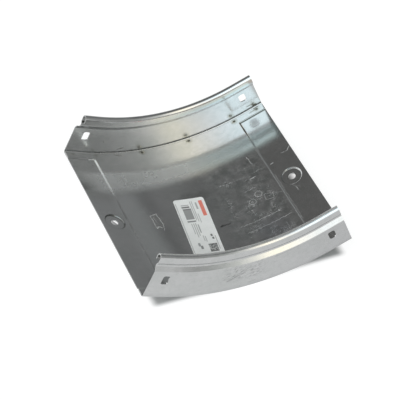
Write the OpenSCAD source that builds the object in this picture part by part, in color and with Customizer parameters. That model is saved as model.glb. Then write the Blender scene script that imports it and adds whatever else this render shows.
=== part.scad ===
// Vertical inside bend for a sheet-steel cable tray.
// The floor is a strip curved upward between two planar side walls.
// X runs along the tray, Y across it and Z up. The origin is the middle of the
// lowest line of the underside. Left is the -X end, and "up" is measured from
// the underside towards the centre of curvature.

/* [Bend] */
// Angle that the tray turns through, in degrees
bend_angle = 45; // [30:1:60]
// Radius of the underside
bend_r = 235.5; // [200:0.5:320]
// Length of the flat stretch at each end, past the curve
straight_len = 21; // [19:0.5:40]

/* [Tray section] */
// Width over the outer faces of the side walls
outer_w = 214; // [160:1:400]
// Height of the side walls over the underside
wall_h = 50; // [48:1:80]
// Thickness of the galvanised sheet
sheet_t = 1; // [0.8:0.1:1.2]
// Inside radius of the fold between wall and flange
fold_r = 1.5; // [1:0.5:3]
// Gap between the edge of the flange under the floor and the riser of the seat
flange_gap = 0.5; // [0.2:0.1:1.5]
// Gap between the edge of the floor plate and the start of the wall's fold
plate_gap = 0.1; // [0.1:0.1:0.5]

/* [Rolled top edge] */
// Distance from the top of the wall down to the start of the shoulder
shoulder_drop = 18; // [16:0.5:20]
// Height over which the shoulder leans inward
shoulder_rise = 5; // [4:0.5:6]
// Depth of the cover groove above the shoulder
groove_depth = 3; // [2:0.25:4]
// Height of the bottom of the cover groove
groove_flat = 2; // [1.5:0.5:3]
// Height over which the sheet leans back out from the groove to the bead
bead_lean = 3; // [2.5:0.5:4]
// Distance of the bead's outer side inward of the wall's outer face
bead_inset = 1.3; // [0.5:0.1:1.8]
// Width over the rolled bead
bead_w = 7; // [6:0.25:9]
// Distance from the top of the bead down to the edge of its free lip
lip_drop = 7.8; // [6:0.2:9]
// Inside radius of the small folds at the shoulder and groove
crease_r = 1; // [0.5:0.25:1.5]
// Length of bead trimmed off at the left end of the left wall
bead_trim = 3; // [0.5:0.5:4]
// Height over the underside from which it is trimmed
bead_trim_up = 35; // [33:0.5:42]
// Distance of the right wall's left edge inboard of the floor's end
wall_setback = 0.5; // [0.5:0.5:4]

/* [Wall slots] */
// Height of each bolt slot
slot_len = 10; // [8:0.5:13]
// Width of each bolt slot
slot_w = 7.2; // [6:0.1:8]
// Radius of the slot's corners
slot_corner_r = 2; // [1:0.25:2.75]
// Distance from the end of the tray to the middle of the slot
slot_inset = 16; // [12:0.5:18]
// Height of the middle of the slot over the underside
slot_up = 22.3; // [17:0.1:23]

/* [Floor ends] */
// Length of the lowered seat for the joining tray
seat_len = 30.7; // [26:0.1:40]
// Distance from the wall's outer face to the side of the seat
seat_side = 11; // [11:0.5:20]
// Depth by which the seat lies below the floor
seat_depth = 1; // [0.6:0.1:1.2]
// Corner radius of the seat at the left end
seat_left_r = 3; // [1:0.5:6]
// Corner radius of the seat at the right end
seat_right_r = 1; // [0.5:0.5:6]
// Diameter of the bolt hole in each seat
hole_d = 7.5; // [5:0.5:9]
// Distance from the end of the tray to the middle of the bolt hole
hole_inset = 15.4; // [13:0.1:18]
// Diameter of the pressed dimple round the bolt hole, at its rim
dimple_d = 21; // [17:0.5:22]
// Diameter of the flat bottom of the dimple
dimple_flat_d = 16; // [12:0.5:16]
// Depth of the dimple
dimple_depth = 1.2; // [0.8:0.1:2]

/* [Spot welds] */
// Diameter of the mark that each spot weld leaves
weld_d = 4; // [3:0.5:5]
// Depth of the weld mark
weld_depth = 0.2; // [0.1:0.05:0.3]
// Distance between spot welds along the floor
weld_pitch = 52; // [40:1:60]
// Distance from the end of the floor to its last spot weld
weld_end = 8; // [5:0.5:12]
// Distance from the wall's outer face to the middle of the welds
weld_side = 5; // [5:0.25:6]

/* [Label] */
// Width of the paper label along the tray
label_w = 31.5; // [20:0.5:40]
// Length of the label across the tray
label_len = 95; // [60:1:110]
// Thickness of the label
label_t = 0.15; // [0.1:0.05:0.3]
// Thickness of the adhesive between label and floor
glue_t = 0.05; // [0.02:0.01:0.1]
// Corner radius of the label
label_corner_r = 3; // [1:0.5:5]
// Turn of the label from square, in degrees
label_turn = -6.8; // [-12:0.1:12]
// Distance of the label's middle along the tray, from the middle of the bend
label_along = -14; // [-30:0.1:30]
// Distance of the label's middle across the tray, from its centre line
label_across = -24.7; // [-40:0.1:40]

/* [Hidden] */
$fn = 96;
sweep_fn = 360;
bend_step = 15;
half_angle = bend_angle / 2;
half_w = outer_w / 2;
plate_bottom = sheet_t;
plate_top = plate_bottom + sheet_t;
plate_half_w = half_w - sheet_t - fold_r - plate_gap;
floor_r = bend_r - plate_top;
arc_half = floor_r * half_angle * PI / 180;
floor_half_len = arc_half + straight_len;
seat_half_w = half_w - seat_side;
seat_top = plate_top - seat_depth;
seat_bottom = seat_top - sheet_t;
flange_w = seat_side - sheet_t - flange_gap;
cut = 1;
steel = "#a9adb0";
paper = "#f2f2f0";

// Distances along the floor from the middle to each spot weld of one half
end_weld = floor_half_len - weld_end;
min_weld_gap = 3 * weld_d;
half_welds = concat([for (s = weld_pitch / 2; s < end_weld - min_weld_gap; s = s + weld_pitch) s], [end_weld]);

// Middle line of the wall's sheet: distance inward of the outer face, height
mid = sheet_t / 2;
shoulder_foot = wall_h - shoulder_drop;
groove_foot = shoulder_foot + shoulder_rise;
groove_head = groove_foot + groove_flat;
bead_foot = groove_head + bead_lean;
bead_mid_r = bead_w / 2 - mid;
fold_mid_r = fold_r + mid;
crease_mid_r = crease_r + mid;
wall_line = [
    [flange_w, mid],
    [mid, mid],
    [mid, shoulder_foot],
    [groove_depth + mid, groove_foot],
    [groove_depth + mid, groove_head],
    [bead_inset + mid, bead_foot],
    [bead_inset + mid, wall_h - mid],
    [bead_inset + bead_w - mid, wall_h - mid],
    [bead_inset + bead_w - mid, wall_h - lip_drop]
];
wall_radii = [
    0, fold_mid_r, crease_mid_r, crease_mid_r, crease_mid_r, crease_mid_r, bead_mid_r, bead_mid_r, 0
];

function unit(v) = v / norm(v);
function turn(a, b) = atan2(cross(a, b), a * b);
function polar(r, angle) = [r * cos(angle), r * sin(angle)];
function left_of(v) = [-v[1], v[0]];

// Points of one face of a folded sheet round a corner of its middle line.
// The offset is the distance from the middle line, to the left of the direction of travel.
function corner_points(at, a, b, r, offset) =
    let (
        angle = turn(a, b),
        inward = sign(angle) * left_of(a),
        centre = at - a * r * tan(abs(angle) / 2) + inward * r,
        start = atan2(-inward[1], -inward[0]),
        steps = ceil(abs(angle) / bend_step)
    )
    [for (k = [0 : steps]) centre + polar(r - sign(angle) * offset, start + angle * k / steps)];

// Points of one face of a folded sheet from end to end
function face_points(line, radii, offset) =
    let (last = len(line) - 1)
    concat(
        [line[0] + offset * left_of(unit(line[1] - line[0]))],
        [for (i = [1 : last - 1])
            each corner_points(line[i], unit(line[i] - line[i - 1]), unit(line[i + 1] - line[i]), radii[i], offset)],
        [line[last] + offset * left_of(unit(line[last] - line[last - 1]))]
    );

function distinct(points) =
    [for (i = [0 : len(points) - 1]) if (i == 0 || norm(points[i] - points[i - 1]) > 0.001) points[i]];

// Section of a folded sheet along a middle line with a radius at each corner
module folded_sheet(line, radii) {
    front = distinct(face_points(line, radii, sheet_t / 2));
    back = distinct(face_points(line, radii, -sheet_t / 2));
    polygon(concat(front, [for (i = [len(back) - 1 : -1 : 0]) back[i]]));
}

// Puts its child at a distance along the floor from the middle, square to the floor
module station(s) {
    along_arc = sign(s) * min(abs(s), arc_half);
    past_arc = s - along_arc;
    translate([0, 0, bend_r])
        rotate([0, -along_arc / floor_r * 180 / PI, 0])
            translate([past_arc, 0, -bend_r])
                children();
}

// Puts its child at the end of the curve, with X running out along the flat stretch
module right_end() {
    translate([0, 0, bend_r])
        rotate([0, -half_angle, 0])
            translate([0, 0, -bend_r])
                children();
}

module left_end() {
    mirror([1, 0, 0])
        right_end()
            children();
}

module both_ends() {
    left_end()
        children();
    right_end()
        children();
}

// Carries a section, drawn with Y across and up, along the whole bend
module sweep(left_len = straight_len, right_len = straight_len) {
    translate([0, 0, bend_r])
        rotate([90, 0, 0])
            rotate([0, 0, -90 - half_angle])
                rotate_extrude(angle = bend_angle, $fn = sweep_fn)
                    translate([bend_r, 0])
                        mirror([1, 0])
                            rotate(-90)
                                children();
    right_end()
        rotate([90, 0, 90])
            linear_extrude(height = right_len)
                children();
    left_end()
        rotate([90, 0, 90])
            linear_extrude(height = left_len)
                children();
}

// Rectangle across the tray, from one height to another
module band(band_half_w, from_up, to_up) {
    translate([-band_half_w, from_up])
        square([2 * band_half_w, to_up - from_up]);
}

module rounded_rect(w, h, r) {
    translate([-w / 2 + r, -h / 2])
        square([w - 2 * r, h]);
    translate([-w / 2, -h / 2 + r])
        square([w, h - 2 * r]);
    for (x = [-1, 1])
        for (y = [-1, 1])
            translate([x * (w / 2 - r), y * (h / 2 - r)])
                circle(r = r);
}

// Outline of the seat from above, grown on every side, in the frame of an end
module seat_prism(grow, corner_r) {
    reach = seat_len + grow + 2 * cut;
    translate([straight_len - seat_len - grow + reach / 2, 0, -wall_h / 2])
        linear_extrude(height = wall_h)
            rounded_rect(reach, 2 * (seat_half_w + grow), corner_r + grow);
}

module both_seats(grow) {
    left_end()
        seat_prism(grow, seat_left_r);
    right_end()
        seat_prism(grow, seat_right_r);
}

// Cone of the dimple below a given face of the seat, in the frame of an end
module dimple_cone(rim_up) {
    translate([straight_len - hole_inset, 0, rim_up - dimple_depth])
        cylinder(d1 = dimple_flat_d, d2 = dimple_d, h = dimple_depth);
    translate([straight_len - hole_inset, 0, rim_up])
        cylinder(d = dimple_d, h = sheet_t / 2);
}

module bolt_hole() {
    translate([straight_len - hole_inset, 0, seat_bottom - dimple_depth - cut])
        cylinder(d = hole_d, h = dimple_depth + sheet_t + 2 * cut);
}

// Floor sheet: rolled along the bend, pressed down into a seat at each end
module floor_plate() {
    color(steel)
        difference() {
            union() {
                sweep()
                    band(plate_half_w, plate_bottom, plate_top);
                intersection() {
                    sweep()
                        band(plate_half_w, seat_bottom, plate_bottom);
                    both_seats(sheet_t);
                }
                both_ends()
                    dimple_cone(seat_bottom);
            }
            intersection() {
                sweep(straight_len + cut, straight_len + cut)
                    band(seat_half_w, seat_top, plate_top + cut);
                both_seats(0);
            }
            both_ends() {
                dimple_cone(seat_top);
                bolt_hole();
            }
            weld_marks(plate_top - weld_depth);
        }
}

// Round marks of the spot welds on both sides, cut upward from the given height
module weld_marks(from_up) {
    for (s = half_welds)
        for (end = [-1, 1])
            for (side = [-1, 1])
                station(end * s)
                    translate([0, side * (half_w - weld_side), from_up])
                        cylinder(d = weld_d, h = weld_depth + cut);
}

// Bolt slot through the wall at +Y, in the frame of an end
module wall_slot() {
    translate([straight_len - slot_inset, half_w + cut, slot_up])
        rotate([90, 0, 0])
            linear_extrude(height = sheet_t + 2 * cut)
                rounded_rect(slot_w, slot_len, slot_corner_r);
}

// Side wall at +Y with its flange, shoulder, cover groove and rolled bead
module side_wall(setback) {
    difference() {
        sweep(left_len = straight_len - setback)
            translate([half_w, 0])
                mirror([1, 0])
                    folded_sheet(wall_line, wall_radii);
        both_ends()
            wall_slot();
        weld_marks(-cut);
    }
}

module left_side_wall() {
    color(steel)
        difference() {
            side_wall(0);
            left_end()
                translate([straight_len - bead_trim, half_w - 2 * bead_w, bead_trim_up])
                    cube([bead_trim + cut, 2 * bead_w + cut, wall_h]);
        }
}

module right_side_wall() {
    color(steel)
        mirror([0, 1, 0])
            side_wall(wall_setback);
}

// Paper label stuck on the floor
module label() {
    color(paper)
        intersection() {
            sweep()
                band(plate_half_w, plate_top + glue_t, plate_top + glue_t + label_t);
            station(label_along)
                translate([0, label_across, -wall_h / 2])
                    rotate([0, 0, label_turn])
                        linear_extrude(height = wall_h)
                            rounded_rect(label_w, label_len, label_corner_r);
        }
}

floor_plate();
left_side_wall();
right_side_wall();
label();
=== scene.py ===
# %% [markdown]
# # A vertical bend for sheet-steel cable tray
# The CAD model gives four pieces: a rolled floor, two folded side walls and a paper label. Here they get
# their zinc, their paper and their light. Everything is in metres: X runs along the tray, Y across it
# towards the far wall, and Z up.

# %% Load the frame
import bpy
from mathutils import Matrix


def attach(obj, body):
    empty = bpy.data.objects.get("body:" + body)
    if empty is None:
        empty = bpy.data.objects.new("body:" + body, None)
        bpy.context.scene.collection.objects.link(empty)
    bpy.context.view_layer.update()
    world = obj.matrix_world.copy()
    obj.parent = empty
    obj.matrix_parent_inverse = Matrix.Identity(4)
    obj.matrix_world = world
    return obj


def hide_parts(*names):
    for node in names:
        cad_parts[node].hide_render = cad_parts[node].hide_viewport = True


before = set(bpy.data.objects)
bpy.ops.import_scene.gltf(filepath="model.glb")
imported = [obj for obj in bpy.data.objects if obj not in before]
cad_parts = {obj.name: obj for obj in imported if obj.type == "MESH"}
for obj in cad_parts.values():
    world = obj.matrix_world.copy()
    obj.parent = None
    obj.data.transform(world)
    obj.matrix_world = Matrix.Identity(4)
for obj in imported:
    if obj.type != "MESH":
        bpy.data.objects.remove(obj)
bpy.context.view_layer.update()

import math
import bmesh
import bpy
from mathutils import Matrix, Vector

# %% [markdown]
# ## The bend's own numbers
# The sheet is straight for 21 mm at each end and turns through 45 degrees between. All patterns follow the
# sheet, so these few numbers are needed again and again: they are the CAD model's own.

# %% Sizes of the bend
BEND_R = 0.2355
HALF_TURN = math.radians(22.5)
STRAIGHT = 0.021
HALF_W = 0.107
FLOOR_TOP = 0.002
print("length of the floor in mm:", round(2000 * ((BEND_R - FLOOR_TOP) * HALF_TURN + STRAIGHT), 1))

# %% [markdown]
# ## The camera
# A long lens stands in front of the near wall, 26 degrees round to the left and 44 degrees up, and it is
# rolled a few degrees. The place and the lens were fitted to the edges of the object in the photograph.

# %% Camera
AZIMUTH, ELEVATION, ROLL, DISTANCE = math.radians(-25.57), math.radians(44.285), math.radians(3.687), 1.772717
back = Vector((math.sin(AZIMUTH) * math.cos(ELEVATION), -math.cos(AZIMUTH) * math.cos(ELEVATION), math.sin(ELEVATION)))
level = Vector((math.cos(AZIMUTH), math.sin(AZIMUTH), 0))
upward = back.cross(level)
right = math.cos(ROLL) * level + math.sin(ROLL) * upward
top = math.cos(ROLL) * upward - math.sin(ROLL) * level
lens = bpy.data.cameras.new("photo_camera")
lens.sensor_width = 36
lens.lens = 1777.639 / 400 * 36
lens.shift_x = -(3.362 + 0.5) / 400
lens.shift_y = (12.823 + 0.5) / 400
camera = bpy.data.objects.new("photo_camera", lens)
camera.matrix_world = Matrix.Translation(back * DISTANCE) @ Matrix((right, top, back)).transposed().to_4x4()
bpy.context.scene.collection.objects.link(camera)
bpy.context.scene.camera = camera
bpy.context.scene.view_settings.view_transform = "Standard"
print("camera at", [round(v, 3) for v in camera.location])

# %% [markdown]
# ## Shading written as sums
# A finish is a net of nodes. Two small helpers let the net be written as plain sums: a Wire is one output
# of a node and knows + - * / and the comparisons, and a Finish adds any node from its type, its settings
# and the values of its sockets.

# %% Helpers for finishes
class Wire:
    """One output of a node, which can be used in sums."""

    def __init__(self, finish, socket):
        self.finish, self.socket = finish, socket

    def __add__(self, other): return self.finish.maths("ADD", self, other)
    def __radd__(self, other): return self.finish.maths("ADD", other, self)
    def __sub__(self, other): return self.finish.maths("SUBTRACT", self, other)
    def __rsub__(self, other): return self.finish.maths("SUBTRACT", other, self)
    def __mul__(self, other): return self.finish.maths("MULTIPLY", self, other)
    def __rmul__(self, other): return self.finish.maths("MULTIPLY", other, self)
    def __truediv__(self, other): return self.finish.maths("DIVIDE", self, other)
    def __rtruediv__(self, other): return self.finish.maths("DIVIDE", other, self)
    def __gt__(self, other): return self.finish.maths("GREATER_THAN", self, other)
    def __lt__(self, other): return self.finish.maths("LESS_THAN", self, other)


class Finish:
    """The net of nodes of one material or of the world."""

    def __init__(self, tree):
        self.tree = tree
        tree.nodes.clear()

    def node(self, kind, settings=None, sockets=None, out=0):
        made = self.tree.nodes.new(kind)
        for name, value in (settings or {}).items():
            if name == "stops":
                ramp = made.color_ramp
                while len(ramp.elements) < len(value):
                    ramp.elements.new(0.5)
                for element, (place, colour) in zip(ramp.elements, value):
                    element.position, element.color = place, colour
            else:
                setattr(made, name, value)
        for key, value in (sockets or {}).items():
            if isinstance(value, Wire):
                self.tree.links.new(value.socket, made.inputs[key])
            else:
                made.inputs[key].default_value = value
        return Wire(self, made.outputs[out]) if made.outputs else None

    def maths(self, operation, *values):
        return self.node("ShaderNodeMath", {"operation": operation}, dict(enumerate(values)))

    def smooth(self, value, low, high, start=0.0, end=1.0):
        """A soft step: start below low, end above high."""
        return self.node("ShaderNodeMapRange", {"interpolation_type": "SMOOTHSTEP"},
                         {"Value": value, "From Min": low, "From Max": high, "To Min": start, "To Max": end})

    def blend(self, amount, first, second):
        """A mix of two colours."""
        return self.node("ShaderNodeMix", {"data_type": "RGBA"}, {0: amount, 6: first, 7: second}, out=2)

    def apart(self, vector):
        return [self.node("ShaderNodeSeparateXYZ", None, {0: vector}, out=i) for i in range(3)]

    def joined(self, x, y, z):
        return self.node("ShaderNodeCombineXYZ", None, {0: x, 1: y, 2: z})


def grey(value, warm=0.0):
    """A grey that is a little warm or, below zero, a little cold."""
    return (value * (1 + warm), value, value * (1 - warm), 1.0)


print("helpers ready")

# %% [markdown]
# ## The studio
# Bright zinc is half a mirror, so most of what is seen on it is the room. In the photograph the floor of the
# bend mirrors a dark ceiling behind it, and the inside of the far wall mirrors, over the floor, large soft
# lights in front of the bend, cream on one side and blue on the other. One sky that changes with direction
# gives all of it, and lights everything softly too. Each row below is a place from left (-1) to right (1),
# how bright the sky is there, and how much more red and blue it has than green.

# %% Sky
FRONT_LIGHTS = [(-0.85, 1.90, -0.02, 0.0), (-0.60, 1.80, -0.04, 0.02), (-0.28, 1.87, -0.14, 0.04), (-0.237, 1.94, -0.15, 0.04),
                (-0.16, 1.86, -0.13, 0.05), (-0.085, 1.63, -0.11, 0.05), (-0.01, 1.42, -0.05, 0.0), (0.06, 1.40, 0.0, -0.04),
                (0.14, 1.53, 0.04, -0.12), (0.19, 1.58, 0.06, -0.19), (0.235, 1.55, 0.05, -0.16), (0.298, 1.09, 0.0, -0.06),
                (0.368, 0.76, -0.02, -0.04), (0.434, 0.55, -0.03, -0.03), (0.496, 0.42, -0.03, -0.03), (0.552, 0.35, -0.02, -0.03),
                (0.647, 0.37, -0.02, -0.02), (0.72, 0.31, -0.02, -0.02)]
BACK_WALL = [(-0.85, 1.60, 0, 0), (-0.55, 1.30, 0, 0), (-0.36, 0.25, 0, 0), (-0.28, 0.12, 0.01, -0.03), (0.0, 0.145, -0.02, -0.02),
             (0.30, 0.155, -0.03, -0.01), (0.37, 0.19, -0.03, -0.01), (0.50, 0.19, -0.02, 0), (0.55, 0.13, -0.02, 0),
             (0.60, 0.26, -0.04, 0), (0.64, 0.26, -0.04, 0), (0.71, 0.20, -0.02, 0)]


def lights(rows):
    """The stops of a ramp from left to right, at half strength so that none is above 1."""
    return [((x + 1) / 2, (bright / 2 * (1 + red), bright / 2, bright / 2 * (1 + blue), 1)) for x, bright, red, blue in rows]


world = bpy.data.worlds.new("studio")
world.use_nodes = True
bpy.context.scene.world = world
sky = Finish(world.node_tree)
x, y, z = sky.apart(sky.node("ShaderNodeTexCoord"))
from_left = 0.5 * x + 0.5
front = sky.node("ShaderNodeValToRGB", {"stops": lights(FRONT_LIGHTS)}, {"Fac": from_left})
behind = sky.node("ShaderNodeValToRGB", {"stops": lights(BACK_WALL)}, {"Fac": from_left})
room = sky.blend(sky.smooth(y, 0.12, -0.40), behind, front)
room = sky.blend(sky.smooth(z, 0.14, 0.0), room, grey(0.45))
seen = sky.node("ShaderNodeLightPath")
background = sky.node("ShaderNodeBackground", None, {"Color": sky.blend(seen, room, grey(1.0)), "Strength": 2 - seen})
sky.node("ShaderNodeOutputWorld", None, {"Surface": background})
print("sky nodes:", len(world.node_tree.nodes))

# %% [markdown]
# ## The ground
# A plain pale floor. What the camera and the metal see of it is white, apart from the part under the bend and a
# little behind the far wall, which loses its glow as a painted shadow, with a painted lit slit below the left bolt
# hole.

# %% Ground
bm = bmesh.new()
bmesh.ops.create_grid(bm, x_segments=1, y_segments=1, size=12)
mesh = bpy.data.meshes.new("ground")
bm.to_mesh(mesh)
bm.free()
ground = bpy.data.objects.new("ground", mesh)
bpy.context.scene.collection.objects.link(ground)
pale = bpy.data.materials.new("pale_ground")
pale.use_nodes = True
paint = Finish(pale.node_tree)
x, y, z = paint.apart(paint.node("ShaderNodeTexCoord", out=3))
# Painted shadow: under the bend the ground has no glow, apart from a painted lit slit below the left bolt hole.
painted_shadow_under = (paint.smooth(x, -0.098, -0.087) * paint.smooth(x, 0.112, 0.100)
         * paint.smooth(y, -0.104, -0.096) * paint.smooth(y, 0.150, 0.112))
slit_along, slit_across = 0.43 * (x + 0.0865) - 0.90 * (y - 0.0182), 0.90 * (x + 0.0865) + 0.43 * (y - 0.0182)
painted_lit_slit = (paint.smooth(paint.maths("ABSOLUTE", slit_along), 0.0042, 0.0034)
        * paint.smooth(paint.maths("ABSOLUTE", slit_across), 0.0013, 0.0005))
painted_shadow_under = painted_shadow_under * (1 - painted_lit_slit)
path = [paint.node("ShaderNodeLightPath", out=number) for number in (0, 3, 6)]
lit = 0.84 * path[0] + 0.50 * path[1] + 0.84 * path[2]
matt = paint.node("ShaderNodeBsdfDiffuse", None, {"Color": paint.blend(painted_shadow_under, grey(0.28), grey(0.50))})
glow = paint.node("ShaderNodeEmission", None, {"Color": grey(1.0), "Strength": lit * (1 - painted_shadow_under)})
both = paint.node("ShaderNodeAddShader", None, {0: matt, 1: glow})
paint.node("ShaderNodeOutputMaterial", None, {"Surface": both})
mesh.materials.append(pale)
print("ground ready")

# %% [markdown]
# ## The pressed floor
# The real floor starts as a flat blank. A press lowers a seat at each end, where the next tray lies, and
# dishes a bolt hole into each seat. Then the blank is rolled. The CAD model has each press line as a plain
# step, but a press leaves a soft riser that catches the light, so the floor is made again here in the same
# order: a flat sheet cut along many lines, pressed, rolled and given its thickness.

# %% Sizes of the floor
HALF_LEN = (BEND_R - FLOOR_TOP) * HALF_TURN + STRAIGHT
PLATE_HALF_W = 0.1044
SHEET = 0.001
SEAT_LEN, SEAT_HALF_W, SEAT_DEPTH, RISER = 0.0307, 0.096, 0.001, 0.0021
SEAT_CORNER = {-1: 0.003, 1: 0.001}
HOLE_INSET, HOLE_R = 0.0154, 0.00375
DISH_R, DISH_FLAT_R, DISH_DEPTH, PATCH = 0.0107, 0.0098, 0.0012, 0.013
RINGS = [0.0118, 0.0112, 0.0109, 0.01075] + [0.0107 - 0.0000818 * i for i in range(12)] + [
    0.0096, 0.0092, 0.0080, 0.0066, 0.0052, HOLE_R]


def steps(first, last, count):
    """Evenly spaced places from first to last."""
    return [first + (last - first) * i / count for i in range(count + 1)]


def soft(t):
    """A soft step from 0 to 1."""
    t = min(max(t, 0.0), 1.0)
    return t * t * (3 - 2 * t)


hole_s = HALF_LEN - HOLE_INSET
seat_s = HALF_LEN - SEAT_LEN
one_end = [HALF_LEN - 0.0008] + steps(hole_s - PATCH, hole_s + PATCH, 16) + steps(seat_s - 0.0014, hole_s - PATCH, 11)[:-1]
s_lines = sorted(steps(0.0014 - seat_s, seat_s - 0.0014, 80)[1:-1] + one_end + [-v for v in one_end])
one_side = steps(PATCH, 0.0915, 14)[1:] + steps(0.0915, 0.098, 16)[1:] + steps(0.098, PLATE_HALF_W, 6)[1:-1]
y_lines = sorted(steps(-PATCH, PATCH, 16) + one_side + [-v for v in one_side])
print(len(s_lines), "cuts along the bend and", len(y_lines), "across it")

# %% [markdown]
# ### Blank, dishes and pressing
# One face of the blank's size is cut along all lines. Where a hole comes, a square of small faces is taken
# out. Its rim is extruded inwards onto a circle, and then ring by ring down to the rim of the hole.
# The blank gets its thickness and its eased edges while it is still flat, where both are exact.

# %% Flat blank with its two holes
def open_dish(bm, centre):
    """Takes a square out of the flat blank and fills it with rings down to the bolt hole."""
    inner = [f for f in bm.faces
             if abs(f.calc_center_median().x - centre) < PATCH and abs(f.calc_center_median().y) < PATCH]
    bmesh.ops.delete(bm, geom=inner, context="FACES")
    rim = [e for e in bm.edges if e.is_boundary
           and abs(e.verts[0].co.x - centre) < PATCH + 1e-5 and abs(e.verts[1].co.x - centre) < PATCH + 1e-5
           and abs(e.verts[0].co.y) < PATCH + 1e-5 and abs(e.verts[1].co.y) < PATCH + 1e-5]
    edges, middle = rim, Vector((centre, 0, 0))
    for before, radius in zip([None] + RINGS, RINGS):
        made = bmesh.ops.extrude_edge_only(bm, edges=edges)["geom"]
        edges = [g for g in made if isinstance(g, bmesh.types.BMEdge)]
        corners = [g for g in made if isinstance(g, bmesh.types.BMVert)]
        if before:
            bmesh.ops.scale(bm, vec=(radius / before,) * 3, space=Matrix.Translation(-middle), verts=corners)
        for v in corners if not before else []:
            v.co = middle + radius * (v.co - middle).normalized()
    return len(rim)


def as_object(bm, name, finish=None):
    """Puts a finished bmesh into the scene as an object at the origin."""
    mesh = bpy.data.meshes.new(name)
    bm.to_mesh(mesh)
    bm.free()
    made = bpy.data.objects.new(name, mesh)
    bpy.context.scene.collection.objects.link(made)
    if finish:
        mesh.materials.append(finish)
    return made


def ease_edges(bm, width, least=60):
    """Rounds every edge that turns by more than the least angle, as a light deburring does."""
    sharp = [e for e in bm.edges if len(e.link_faces) == 2 and e.calc_face_angle() > math.radians(least)]
    bmesh.ops.bevel(bm, geom=sharp, offset=width, offset_type="OFFSET", segments=2, profile=0.5,
                    affect="EDGES", material=-1, clamp_overlap=True)
    for face in bm.faces:
        face.smooth = True
    return len(sharp)


blank = bmesh.new()
bmesh.ops.create_grid(blank, x_segments=1, y_segments=1, size=1)
bmesh.ops.scale(blank, vec=(HALF_LEN, PLATE_HALF_W, 1), verts=blank.verts)
for axis, lines in ((Vector((1, 0, 0)), s_lines), (Vector((0, 1, 0)), y_lines)):
    for place in lines:
        bmesh.ops.bisect_plane(blank, geom=blank.verts[:] + blank.edges[:] + blank.faces[:], dist=1e-6,
                               plane_co=axis * place, plane_no=axis)
around = [open_dish(blank, side * hole_s) for side in (-1, 1)]
bmesh.ops.recalc_face_normals(blank, faces=blank.faces)
blank.normal_update()
if sum(f.normal.z for f in blank.faces) < 0:
    bmesh.ops.reverse_faces(blank, faces=blank.faces)
    blank.normal_update()
bmesh.ops.solidify(blank, geom=blank.faces, thickness=SHEET)
bmesh.ops.recalc_face_normals(blank, faces=blank.faces)
blank.normal_update()
print("corners round each dish:", around, "edges eased:", ease_edges(blank, 0.00012), "faces:", len(blank.faces))
print("blank from", round(1000 * min(v.co.z for v in blank.verts), 3), "to", round(1000 * max(v.co.z for v in blank.verts), 3), "mm")

# %% [markdown]
# ### Pressing and rolling
# Each point of both faces goes down by the seat and the dish, and is then rolled onto the bend: straight at the ends, round
# the bend's centre between. Rolling is one small function, because the pattern lines of the finish use the
# same rule the other way round.

# %% Press and roll
def pressed(s, y):
    """How far the press lowers the floor at one place of the blank."""
    side = 1 if s > 0 else -1
    corner = SEAT_CORNER[side]
    along, across = HALF_LEN - abs(s) - (SEAT_LEN - corner), abs(y) - (SEAT_HALF_W - corner)
    outside = math.hypot(max(along, 0), max(across, 0)) + min(max(along, across), 0) - corner
    dish = math.hypot(abs(s) - hole_s, y)
    return (SEAT_DEPTH * soft(0.5 - outside / RISER)
            + DISH_DEPTH * soft((DISH_R - dish) / (DISH_R - DISH_FLAT_R)))


def rolled(s, y, up):
    """A place on the bend: s along the floor's top from the middle, y across, up from the underside."""
    turn = max(-HALF_TURN, min(HALF_TURN, s / (BEND_R - FLOOR_TOP)))
    past = s - turn * (BEND_R - FLOOR_TOP)
    return Vector(((BEND_R - up) * math.sin(turn) + past * math.cos(turn), y,
                   BEND_R - (BEND_R - up) * math.cos(turn) + past * math.sin(turn)))


for v in blank.verts:
    v.co = rolled(v.co.x, v.co.y, FLOOR_TOP + v.co.z - pressed(v.co.x, v.co.y))
bmesh.ops.recalc_face_normals(blank, faces=blank.faces)
blank.normal_update()
print("lowest place of the floor in mm:", round(1000 * min(v.co.z for v in blank.verts), 2))

# %% [markdown]
# ## Places on the sheet
# Rolling lines, scratches and dirt lie along the sheet, so each finish first asks where a point lies on it.
# The bend is an arc with straight ends, so the turn round its centre gives the place along it, held at the
# last turn where the sheet runs on straight. This is rolling, the other way round.

# %% Places on the sheet
def on_sheet(coat):
    """In mm: along the floor from the middle, across, and up from the underside."""
    side, across, height = [1000 * part for part in coat.apart(coat.node("ShaderNodeTexCoord", out=3))]
    down = 1000 * BEND_R - height
    turn = coat.maths("MINIMUM", coat.maths("ARCTAN2", side, down), HALF_TURN)
    turn = coat.maths("MAXIMUM", turn, -HALF_TURN)
    sine, cosine = coat.maths("SINE", turn), coat.maths("COSINE", turn)
    along = 1000 * (BEND_R - FLOOR_TOP) * turn + (side * cosine - down * sine)
    up = 1000 * BEND_R - (side * sine + down * cosine)
    return along, across, up


def slanted(coat, first, second, start, end):
    """Turns two places so that the first runs from start to end, and gives the length between them too."""
    length = math.dist(start, end)
    ux, uy = (end[0] - start[0]) / length, (end[1] - start[1]) / length
    mx, my = (start[0] + end[0]) / 2, (start[1] + end[1]) / 2
    lengthwise = coat.maths("MULTIPLY_ADD", first, ux, coat.maths("MULTIPLY_ADD", second, uy, -mx * ux - my * uy))
    sideways = coat.maths("MULTIPLY_ADD", second, ux, coat.maths("MULTIPLY_ADD", first, -uy, mx * uy - my * ux))
    return coat.maths("ABSOLUTE", lengthwise), coat.maths("ABSOLUTE", sideways), length


def stroke(coat, first, second, start, end, width, soft_edge=0.35):
    """A straight soft mark: 1 on it, 0 off it."""
    lengthwise, sideways, length = slanted(coat, first, second, start, end)
    fade = min(1.5, length / 4)
    return (coat.smooth(sideways, width / 2 + soft_edge, width / 2 - soft_edge)
            * coat.smooth(lengthwise, length / 2 + fade, length / 2 - fade))


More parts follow.
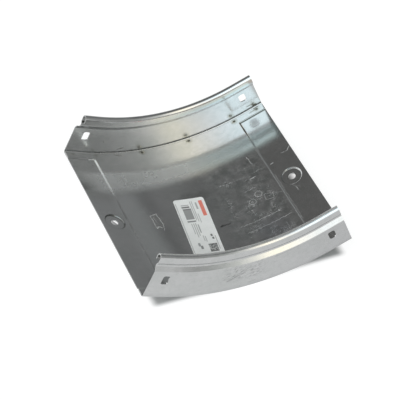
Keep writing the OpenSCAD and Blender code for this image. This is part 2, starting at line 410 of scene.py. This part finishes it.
def ring(coat, spot, centre, radius, width):
    """A round line, or a disc where the radius is 0."""
    distance = coat.node("ShaderNodeVectorMath", {"operation": "DISTANCE"}, {0: spot, 1: (*centre, 0)}, out=1)
    return coat.smooth(coat.maths("ABSOLUTE", distance - radius), width, width * 0.35)


print("a stroke of 10 mm is", round(math.dist((0, 0), (6, 8)), 1), "mm long")

# %% [markdown]
# ## Zinc
# Hot-dip zinc on rolled sheet is a soft mirror. Large clouds and a faint spangle change its colour and its
# gloss a little, the rolling leaves fine lines along the sheet, and the sheet is never quite flat, so that
# reflections waver. All three sheets share this finish, and each adds its own marks.

# %% Zinc
class Zinc:
    """The shared zinc finish, to which marks are added before it is closed."""

    def __init__(self, name):
        self.material = bpy.data.materials.new(name)
        self.material.use_nodes = True
        self.coat = coat = Finish(self.material.node_tree)
        self.along, self.across, self.up = on_sheet(coat)
        self.place = coat.joined(self.along, self.across, self.up)
        self.spot = coat.joined(self.along, self.across, 0.0)
        cloud = coat.node("ShaderNodeTexNoise", None, {"Vector": self.place, "Scale": 0.022, "Detail": 3.0})
        fleck = coat.node("ShaderNodeTexNoise", None, {"Vector": self.place, "Scale": 0.16, "Detail": 2.0})
        spangle = coat.node("ShaderNodeTexVoronoi", None, {"Vector": self.place, "Scale": 0.25}, out=1)
        spangle = coat.apart(spangle)[0]
        rolled_way = coat.joined(0.012 * self.along, 1.1 * self.across, 1.1 * self.up)
        grain = coat.node("ShaderNodeTexNoise", None, {"Vector": rolled_way, "Scale": 1.0, "Detail": 3.0})
        waver = coat.node("ShaderNodeTexNoise", None, {"Vector": self.place, "Scale": 0.03, "Detail": 1.0})
        tone = 0.55 * cloud + 0.2 * fleck + 0.1 * spangle + 0.15 * grain
        self.colour = coat.blend(coat.smooth(tone, 0.35, 0.65), (0.625, 0.635, 0.632, 1), (0.695, 0.695, 0.70, 1))
        self.roughness = 0.075 + 0.05 * cloud + 0.05 * fleck + 0.02 * grain
        self.metallic = 1.0
        self.height = waver * 0.6 + grain * 0.0012 + fleck * 0.012
        self.cloud, self.fleck, self.grain = cloud, fleck, grain

    def tinted(self, amount, colour, roughness=None):
        """Lays dirt, painted shade or a colour over the metal where the amount is above 0."""
        self.colour = self.coat.blend(amount, self.colour, colour)
        if roughness is not None:
            self.roughness = self.roughness + amount * (roughness - self.roughness)

    def dulled(self, amount, grey_value=0.75):
        """Scratches scatter light, so they look pale where the metal mirrors something dark; the same finish also lays
        painted highlights.
        """
        self.tinted(amount, grey(grey_value), 0.45)
        self.metallic = self.metallic * (1 - 0.6 * amount)

    def close(self):
        coat = self.coat
        normal = coat.node("ShaderNodeBump", None, {"Strength": 1.0, "Distance": 0.00010, "Height": self.height})
        shader = coat.node("ShaderNodeBsdfPrincipled", None, {
            "Base Color": self.colour, "Metallic": self.metallic, "Roughness": self.roughness, "Normal": normal})
        coat.node("ShaderNodeOutputMaterial", None, {"Surface": shader})
        return self.material


print("zinc ready")

# %% [markdown]
# ## Marks on the floor
# The floor is where trays are stacked and dragged, so it has most of the marks. The seam beside the walls is
# darkened, partly dirt and partly painted shade, and the pressed risers carry painted shade lines and a painted
# highlight. Spot welds leave small craters with an olive heat tint. Scratches and specks are pale, because rough
# metal also catches the light from in front. Places are in mm on the sheet.

# %% Seam, riser shade lines and welds of the floor
floor_zinc = Zinc("floor_zinc_finish")
coat, s, y = floor_zinc.coat, floor_zinc.along, floor_zinc.across
side = coat.maths("ABSOLUTE", y)
# Painted shade with some dirt: the floor is darkened in the narrow groove beside both walls, except at the left end.
floor_zinc.tinted(0.40 * coat.smooth(side, 103.6, 104.2) * coat.smooth(s, -92, -70), (0.12, 0.115, 0.105, 1), 0.4)
# Two dark discs beside the near wall are painted shade, not dirt.
for painted_shade_spot in ((-88.0, -88.0), (105.0, -88.0)):
    floor_zinc.tinted(0.65 * ring(coat, floor_zinc.spot, painted_shade_spot, 0.0, 11.0), (0.13, 0.13, 0.125, 1), 0.5)
# A pale dull line along the left seat's riser is a painted highlight.
floor_zinc.dulled((0.10 + 0.25 * floor_zinc.fleck) * stroke(coat, s, y, (-82.0, 86.0), (-82.0, -94.0), 2.2), 0.62)
# Dark lines along the seat risers are painted shade.
RISER_SHADE_LINES = [((82.0, 95.6), (113.0, 95.6), 1.5, 0.95), ((81.8, 96.0), (81.8, 62.0), 1.1, 0.9), ((-82.2, 60.0), (-82.2, -88.0), 0.5, 0.18),
           ((-82.5, 27.0), (-82.5, 4.0), 0.9, 0.30), ((-112.0, 95.6), (-101.0, 95.6), 0.8, 0.4)]
for start, end, width, strength in RISER_SHADE_LINES:
    floor_zinc.tinted(strength * stroke(coat, s, y, start, end, width), (0.10, 0.11, 0.10, 1), 0.35)
WELDS = [(-104.7, 0.25), (-78.0, 0.3), (-26.0, 0.85), (26.0, 0.85), (78.0, 0.9), (104.7, 0.7)]
for place, strength in WELDS:
    for edge in (-101.3, 101.3):
        distance = coat.node("ShaderNodeVectorMath", {"operation": "DISTANCE"}, {0: floor_zinc.spot, 1: (place, edge, 0)}, out=1)
        floor_zinc.tinted(0.45 * strength * coat.smooth(distance, 5.0, 2.2), (0.30, 0.29, 0.21, 1))
        floor_zinc.tinted(strength * coat.smooth(distance, 2.0, 1.1), (0.07, 0.065, 0.045, 1), 0.35)
        floor_zinc.height = floor_zinc.height - coat.smooth(distance, 2.3, 1.2) * 1.4 * strength
print("welds on each side:", len(WELDS))

# %% Stains, scratches, specks and a painted reflection of the floor
STAINS = [((95.1, 86.5), 8.0, 1.0, (0.70, 0.72, 0.73, 1), 0.34), ((-8.0, 22.0), 13.0, 0.30, (0.30, 0.31, 0.30, 1), None),
          ((7.0, 22.0), 9.0, 0.35, (0.28, 0.29, 0.28, 1), None), ((-50.0, -2.0), 15.0, 0.3, (0.75, 0.75, 0.72, 1), 0.3),
          ((98.0, 88.0), 7.0, 0.12, (0.35, 0.37, 0.40, 1), None), ((24.0, 108.0), 5.0, 0.4, (0.35, 0.34, 0.28, 1), None)]
for centre, radius, strength, colour, rough in STAINS:
    amount = ring(coat, floor_zinc.spot, centre, 0.0, radius)
    floor_zinc.tinted(strength * amount, colour, rough)
haze = (coat.smooth(y - 0.10 * s, 44, 60) * coat.smooth(y, 78, 70) * coat.smooth(s, -125, -80) * coat.smooth(s, 116, 40)
        * (0.6 + 0.4 * floor_zinc.cloud))
floor_zinc.dulled(0.58 * haze, 0.80)
# Painted reflection: a bluish tint across the middle of the floor.
bluish_reflection_tint = coat.smooth(y, 48, 58) * coat.smooth(y, 80, 70) * coat.smooth(s, -10, 45)
floor_zinc.tinted(0.7 * bluish_reflection_tint, (0.57, 0.665, 0.675, 1), 0.19)
wobble = coat.node("ShaderNodeTexNoise", None, {"Vector": floor_zinc.place, "Scale": 0.35, "Detail": 1.0}, out=1)
wx, wy, _ = coat.apart(wobble)
s_bent, y_bent = s + 1.8 * (wx - 0.5), y + 1.8 * (wy - 0.5)
SCRATCHES = [((-89.0, 95.4), (-83.5, 95.4), 0.9, 0.8), ((111.8, 36.0), (107.1, 32.3), 0.6, 0.6), ((107.1, 32.3), (100.6, 32.7), 0.5, 0.45), ((89.3, 27.7), (84.6, 25.9), 0.6, 0.6),
             ((68.4, 50.1), (69.6, 37.4), 0.6, 0.6), ((59.4, 19.7), (65.6, 21.0), 0.9, 0.8), ((25.7, 26.4), (56.0, 25.8), 0.5, 0.35),
             ((56.0, 25.8), (80.1, 26.7), 0.5, 0.3), ((47.8, 7.3), (59.2, 8.1), 0.6, 0.5), ((24.7, -34.2), (67.2, -32.9), 0.6, 0.55),
             ((29.1, -44.4), (76.7, -42.5), 0.6, 0.6), ((67.8, -49.5), (67.7, -59.5), 0.5, 0.45), ((94.9, -14.7), (95.8, -20.0), 0.9, 0.4),
             ((67.0, -31.5), (68.4, -33.5), 1.3, 0.7), ((65.3, 10.7), (64.8, 2.8), 0.5, 0.3), ((69.0, -1.9), (72.8, 4.6), 0.5, 0.3),
             ((74.5, -10.0), (80.5, -12.5), 0.6, 0.35), ((81.0, 55.0), (81.4, 20.0), 0.5, 0.30), ((81.6, 20.0), (81.6, -60.0), 0.6, 0.38),
             ((83.7, 12.0), (83.7, -56.0), 0.5, 0.34), ((30.0, 12.0), (24.0, 34.0), 0.4, 0.25), ((36.0, -12.0), (58.0, -16.0), 0.4, 0.3),
             ((20.0, 2.0), (30.0, 10.0), 0.4, 0.3), ((40.0, 36.0), (75.0, 36.0), 0.4, 0.25), ((88.0, -4.0), (99.0, -18.0), 0.4, 0.3),
             ((-55.8, 7.0), (-48.4, 9.0), 0.9, 0.6), ((-48.4, 9.0), (-47.1, -6.9), 0.8, 0.75), ((-47.1, -6.9), (-49.1, -15.4), 0.8, 0.6),
             ((-55.8, 7.0), (-55.3, -11.7), 0.8, 0.7), ((-55.3, -11.7), (-53.3, -9.4), 1.2, 0.7), ((-53.3, -9.4), (-49.7, -10.9), 1.3, 0.7),
             ((-53.0, 5.0), (-52.2, -4.0), 0.7, 0.4), ((-66.0, 13.0), (-58.0, 13.0), 0.8, 0.25),
             ((45.0, -60.0), (52.0, -52.0), 0.4, 0.35), ((-31.0, -5.0), (-28.0, -4.5), 0.8, 0.35), ((-34.0, -14.0), (-31.0, -14.5), 0.8, 0.3)]
scratched = 0.0
for start, end, width, strength in SCRATCHES:
    scratched = strength * stroke(coat, s_bent, y_bent, start, end, width, 0.28) + scratched
RINGS_AND_FRAMES = [((58.8, -1.9), 3.7, 0.75, 0.45), ((49.6, -8.8), 3.5, 0.75, 0.4), ((49.6, -8.8), 0.0, 1.6, 0.3)]
bent_spot = coat.joined(s_bent, y_bent, 0.0)
for centre, radius, width, strength in RINGS_AND_FRAMES:
    scratched = strength * ring(coat, bent_spot, centre, radius, width) + scratched
frame_marks = [((63.5, -5.5), (72.0, -8.0)), ((72.0, -8.0), (70.5, -15.0)), ((70.5, -15.0), (62.5, -13.0)), ((62.5, -13.0), (63.5, -5.5)),
               ((66.0, -8.5), (68.5, -11.5))]
for start, end in frame_marks:
    scratched = 0.45 * stroke(coat, s_bent, y_bent, start, end, 0.6, 0.28) + scratched
floor_zinc.dulled(coat.maths("MINIMUM", scratched, 1.0))
print("scratches:", len(SCRATCHES), "nodes so far:", len(floor_zinc.material.node_tree.nodes))

# %% [markdown]
# ### Fields of fine scratches
# Between the label and the right seat the floor is covered in fine scratches and specks, far too many to
# place one by one. Noise that is stretched along one direction and cut off high gives short lines, and a few
# directions together look like years of dragging.

# %% Fine scratches and specks
def fine_lines(coat, first, second, degrees, length, width, rare, seed):
    """Short fine lines at one angle, and fewer of them where rare is higher."""
    cos, sin = math.cos(math.radians(degrees)), math.sin(math.radians(degrees))
    lengthwise = coat.maths("MULTIPLY_ADD", first, cos / length, second * (sin / length))
    sideways = coat.maths("MULTIPLY_ADD", second, cos / width, first * (-sin / width))
    lines = coat.node("ShaderNodeTexNoise", None, {"Vector": coat.joined(lengthwise, sideways, seed), "Scale": 1.0, "Detail": 0.0})
    return coat.smooth(lines, rare, rare + 0.09)


worn = coat.smooth(s, 2, 30) * coat.smooth(s, 84, 76) * coat.smooth(y, 60, 42)
patchy = coat.smooth(coat.node("ShaderNodeTexNoise", None, {"Vector": floor_zinc.place, "Scale": 0.06, "Detail": 2.0}), 0.40, 0.62)
lines = 0.0
for degrees, length, width, rare, seed, strength in ((5, 5.0, 0.6, 0.57, 3.0, 0.60), (62, 3.0, 0.6, 0.60, 9.0, 0.45),
                                                     (-50, 3.0, 0.6, 0.60, 15.0, 0.45), (92, 3.0, 0.6, 0.62, 21.0, 0.40)):
    lines = strength * fine_lines(coat, s, y, degrees, length, width, rare, seed) + lines
lines = coat.maths("MINIMUM", lines, 1.0)
floor_zinc.dulled(lines * (0.34 * worn * (0.30 + patchy) + 0.04) * (1 - haze))
shades = coat.smooth(coat.node("ShaderNodeTexNoise", None, {"Vector": floor_zinc.place, "Scale": 0.13, "Detail": 3.0}), 0.42, 0.60)
floor_zinc.tinted(0.40 * worn * shades, (0.33, 0.36, 0.35, 1))
specks = coat.node("ShaderNodeTexVoronoi", None, {"Vector": floor_zinc.place, "Scale": 0.75})
dusty = ring(coat, floor_zinc.spot, (54.0, -52.0), 0.0, 24.0)
floor_zinc.tinted(0.7 * coat.smooth(specks, 0.30, 0.16) * dusty * patchy, (0.62, 0.68, 0.80, 1), 0.5)
floor_zinc.tinted(0.25 * dusty, (0.50, 0.52, 0.60, 1))
INK = [((6.5, -26.0), (10.5, -23.6)), ((8.0, -26.2), (12.0, -24.4)), ((11.0, -25.6), (14.5, -24.4)), ((14.5, -25.6), (18.5, -24.6))]
for start, end in INK:
    floor_zinc.tinted(0.85 * stroke(coat, s, y, start, end, 0.9), (0.02, 0.02, 0.02, 1), 0.4)
# Each dish wall gets a painted shade ring, which on the right dish turns into a painted highlight towards the near
# right.
for side_of_bend, dish_shade, dish_highlight in ((-1, 0.93, 0.0), (1, 0.55, 0.55)):
    lit_and_shaded_dish_wall = ring(coat, floor_zinc.spot, (1000 * side_of_bend * hole_s, 0), 10.3, 0.9)
    towards_near_right = coat.smooth(s - y - 1000 * side_of_bend * hole_s, -1, 7)
    floor_zinc.tinted(dish_shade * lit_and_shaded_dish_wall * (1 - (towards_near_right if dish_highlight else 0.0)), (0.16, 0.165, 0.16, 1), 0.3)
    floor_zinc.dulled(dish_highlight * lit_and_shaded_dish_wall * towards_near_right, 0.85)
    # The cut edge of each bolt hole is painted pale: a painted highlight.
    painted_lit_hole_edge = ring(coat, floor_zinc.spot, (1000 * side_of_bend * hole_s, 0), 0.0, 5.4)
    painted_lit_hole_edge = painted_lit_hole_edge * coat.smooth(coat.node("ShaderNodeVectorMath", {"operation": "DISTANCE"}, {
        0: floor_zinc.spot, 1: (1000 * side_of_bend * hole_s, 0, 0)}, out=1), 3.84, 3.78)
    floor_zinc.dulled(painted_lit_hole_edge, 0.93)
print("nodes in the floor's finish:", len(floor_zinc.material.node_tree.nodes))

# %% [markdown]
# ## Marks on the walls
# The far wall is seen from inside. Its fold is darkened, partly dirt and partly painted shade, and the spot welds
# have left a little heat tint above the seam. The near wall is seen from outside, with a patch of grey rubbing in its
# middle.

# %% Walls
left_zinc = Zinc("left_wall_zinc_finish")
coat, s, up = left_zinc.coat, left_zinc.along, left_zinc.up
left_zinc.roughness = left_zinc.roughness + 0.09 * coat.smooth(up, 42, 36)
inside = coat.smooth(left_zinc.across, 106.7, 106.4)
# Painted shade with some dirt: the far wall is darkened just above the seam, except at the left end.
left_zinc.tinted(0.22 * inside * coat.smooth(up, 3.0, 2.3) * coat.smooth(s, -92, -70), (0.12, 0.115, 0.105, 1), 0.4)
WALL_MARKS = [((-72.9, 16.1), (-71.9, 16.1), 1.4, 0.7), ((-54.0, 5.7), (-46.5, 7.4), 1.1, 0.6), ((-27.5, 4.6), (-25.5, 4.6), 1.6, 0.4),
              ((24.5, 6.5), (26.5, 6.5), 1.8, 0.5), ((23.5, 9.8), (25.0, 9.6), 1.4, 0.3), ((75.5, 8.2), (76.8, 8.0), 2.0, 0.5),
              ((96.5, 7.4), (104.5, 6.6), 1.4, 0.7), ((102.5, 4.9), (107.5, 3.8), 2.6, 0.9)]
marks = 0.0
for start, end, width, strength in WALL_MARKS:
    marks = strength * stroke(coat, s, up, start, end, width, 0.6) + marks
left_zinc.tinted(inside * coat.maths("MINIMUM", marks, 1.0), (0.13, 0.125, 0.09, 1), 0.35)
# Painted reflection: an orange-brown tint on the far wall's bead towards the right.
bead_reflection_tint = coat.smooth(up, 43.0, 45.0) * coat.smooth(s, 10, 60)
left_zinc.tinted(0.55 * bead_reflection_tint * coat.smooth(up, 49.0, 47.5), (0.60, 0.50, 0.40, 1))
fine = coat.maths("MINIMUM", fine_lines(coat, s, up, 4, 8.0, 0.7, 0.63, 5.0) + fine_lines(coat, s, up, -70, 4.0, 0.7, 0.66, 8.0), 1.0)
left_zinc.dulled(0.12 * fine * coat.smooth(up, 40, 34))

right_zinc = Zinc("right_wall_zinc_finish")
coat, s, up = right_zinc.coat, right_zinc.along, right_zinc.up
outside = coat.smooth(right_zinc.across, -106.4, -106.7)
rubbed = coat.smooth(coat.maths("ABSOLUTE", s + 6), 30, 16) * coat.smooth(up, 10, 16) * coat.smooth(up, 36, 28)
rub = fine_lines(coat, s, up, 24, 5.0, 0.8, 0.56, 2.0) + 0.6 * fine_lines(coat, s, up, -8, 7.0, 1.0, 0.60, 6.0)
right_zinc.tinted(0.45 * outside * rubbed * coat.maths("MINIMUM", rub, 1.0), (0.25, 0.26, 0.25, 1), 0.35)
RUBS = [((-24.0, 14.0), (-3.0, 22.0), 1.4, 0.30), ((-20.0, 18.0), (2.0, 27.0), 1.0, 0.30), ((0.0, 6.0), (8.0, 7.0), 0.8, 0.30),
        ((-97.0, 13.4), (-96.0, 13.4), 0.9, 0.30), ((-94.8, 13.4), (-93.8, 13.4), 0.9, 0.25), ((30.0, 30.0), (60.0, 31.5), 0.7, 0.30)]
# Painted highlight: the inner side of the near bead's top is made paler and duller.
painted_sheen_bead_top = coat.smooth(up, 47.0, 49.0) * coat.smooth(right_zinc.across, -103.6, -102.2)
right_zinc.dulled(0.5 * painted_sheen_bead_top, 0.80)
rubs = 0.0
for start, end, width, strength in RUBS:
    rubs = strength * stroke(coat, s, up, start, end, width, 0.5) + rubs
right_zinc.tinted(outside * coat.maths("MINIMUM", rubs, 1.0), (0.20, 0.21, 0.20, 1), 0.35)
fine = coat.maths("MINIMUM", fine_lines(coat, s, up, 4, 8.0, 0.7, 0.63, 5.0) + fine_lines(coat, s, up, 75, 4.0, 0.7, 0.66, 8.0), 1.0)
right_zinc.dulled(0.14 * fine)
# Painted shade: the near wall's outer face is darkened towards the right and towards its bottom edge.
right_zinc.tinted(outside * (0.16 * coat.smooth(s, -30, 110) + 0.14 * coat.smooth(up, 7, 2)), (0.30, 0.31, 0.32, 1))
print("nodes in the walls' finishes:", len(left_zinc.material.node_tree.nodes), len(right_zinc.material.node_tree.nodes))

# %% Pieces and their finishes
for node_name, finish in (("left_side_wall", left_zinc), ("right_side_wall", right_zinc)):
    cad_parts[node_name].material_slots[0].material = finish.close()
floor = as_object(blank, "pressed_floor", floor_zinc.close())
evened = floor.modifiers.new("evened", "WEIGHTED_NORMAL")
evened.weight, evened.keep_sharp = 50, False
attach(floor, "root")
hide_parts("floor_plate")

# %% [markdown]
# ## The paper label
# A glossy white label, printed in black and red. Its print is given as plain fields: a red bar, a grey block
# and rows of thin grey bars, with nothing that can be read. The print is laid out along the label's own
# length and width, which lie slightly turned on the floor.

# %% Label
paper = bpy.data.materials.new("label_paper_finish")
paper.use_nodes = True
sheet = Finish(paper.node_tree)
s, y, up = on_sheet(sheet)
LABEL_TURN = math.radians(-6.8)
cos, sin = math.cos(LABEL_TURN), math.sin(LABEL_TURN)
wide = (s + 14.0) * cos + (y + 24.7) * sin
long = (y + 24.7) * cos - (s + 14.0) * sin
place = sheet.joined(wide, long, 0.0)
fibre = sheet.node("ShaderNodeTexNoise", None, {"Vector": place, "Scale": 0.9, "Detail": 4.0})
crease = sheet.node("ShaderNodeTexNoise", None, {"Vector": place, "Scale": 0.09, "Detail": 2.0})
colour = sheet.blend(sheet.smooth(0.5 * fibre + 0.5 * crease, 0.35, 0.65), (0.86, 0.865, 0.86, 1), (0.93, 0.93, 0.92, 1))
DARK, MID, LIGHT, RED = (0.05, 0.05, 0.05, 1), (0.22, 0.22, 0.22, 1), (0.48, 0.48, 0.48, 1), (0.80, 0.13, 0.07, 1)
FIELDS = [(9.3, 13.0, 21.0, 43.0, RED, 0.85), (-9.2, -0.8, 31.8, 33.5, DARK, 0.6), (-9.2, -0.8, 18.0, 33.5, MID, 0.80), (-9.6, -1.6, 34.8, 36.8, DARK, 0.8),
          (-9.6, -1.6, 38.2, 39.2, MID, 0.7), (-9.2, -0.4, 14.0, 16.0, DARK, 0.7), (5.2, 7.0, 31.5, 41.0, MID, 0.6),
          (0.2, 1.0, 16.0, 43.5, MID, 0.55), (2.0, 2.8, 14.0, 43.5, MID, 0.55), (4.0, 4.8, 12.0, 25.0, MID, 0.5),
          (-6.4, -5.6, -3.0, 12.0, MID, 0.55), (-4.4, -3.6, -8.0, 12.0, MID, 0.6), (-2.4, -1.6, -6.0, 12.0, MID, 0.6),
          (-0.4, 0.6, -2.0, 10.0, MID, 0.75), (0.2, 1.0, -14.0, -6.0, MID, 0.55), (2.0, 2.8, -15.0, -7.0, MID, 0.6),
          (8.2, 10.0, -8.5, -5.5, DARK, 0.85), (8.8, 10.6, -12.5, -9.8, DARK, 0.85), (12.0, 12.7, -27.0, -8.0, MID, 0.6),
          (-7.6, -5.4, -20.5, -16.0, DARK, 0.6), (-6.0, -3.6, -24.5, -20.0, DARK, 0.7), (2.4, 11.0, -29.5, -18.5, DARK, 0.45), (-14.9, -14.1, -44.0, 42.0, MID, 0.5), (2.4, 11.0, -20.0, -18.5, DARK, 0.5)]
for a0, a1, b0, b1, ink, strength in FIELDS:
    inside = (sheet.smooth(sheet.maths("ABSOLUTE", wide - (a0 + a1) / 2), (a1 - a0) / 2 + 0.25, (a1 - a0) / 2 - 0.15)
              * sheet.smooth(sheet.maths("ABSOLUTE", long - (b0 + b1) / 2), (b1 - b0) / 2 + 0.25, (b1 - b0) / 2 - 0.15))
    colour = sheet.blend(strength * inside, colour, ink)
blocks = sheet.node("ShaderNodeTexVoronoi", {"distance": "CHEBYCHEV"}, {"Vector": place, "Scale": 0.75}, out=1)
mottled = (sheet.smooth(sheet.maths("ABSOLUTE", wide - 6.7), 4.4, 4.1) * sheet.smooth(sheet.maths("ABSOLUTE", long + 24.0), 5.6, 5.3))
colour = sheet.blend(0.75 * mottled * sheet.smooth(sheet.apart(blocks)[0], 0.45, 0.55), colour, DARK)
height = 0.5 * fibre + 3.0 * crease
normal = sheet.node("ShaderNodeBump", None, {"Strength": 0.6, "Distance": 0.00008, "Height": height})
shader = sheet.node("ShaderNodeBsdfPrincipled", None, {
    "Base Color": colour, "Roughness": 0.38 + 0.12 * fibre, "Normal": normal})
sheet.node("ShaderNodeOutputMaterial", None, {"Surface": shader})
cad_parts["label"].material_slots[0].material = paper
print("fields on the label:", len(FIELDS))
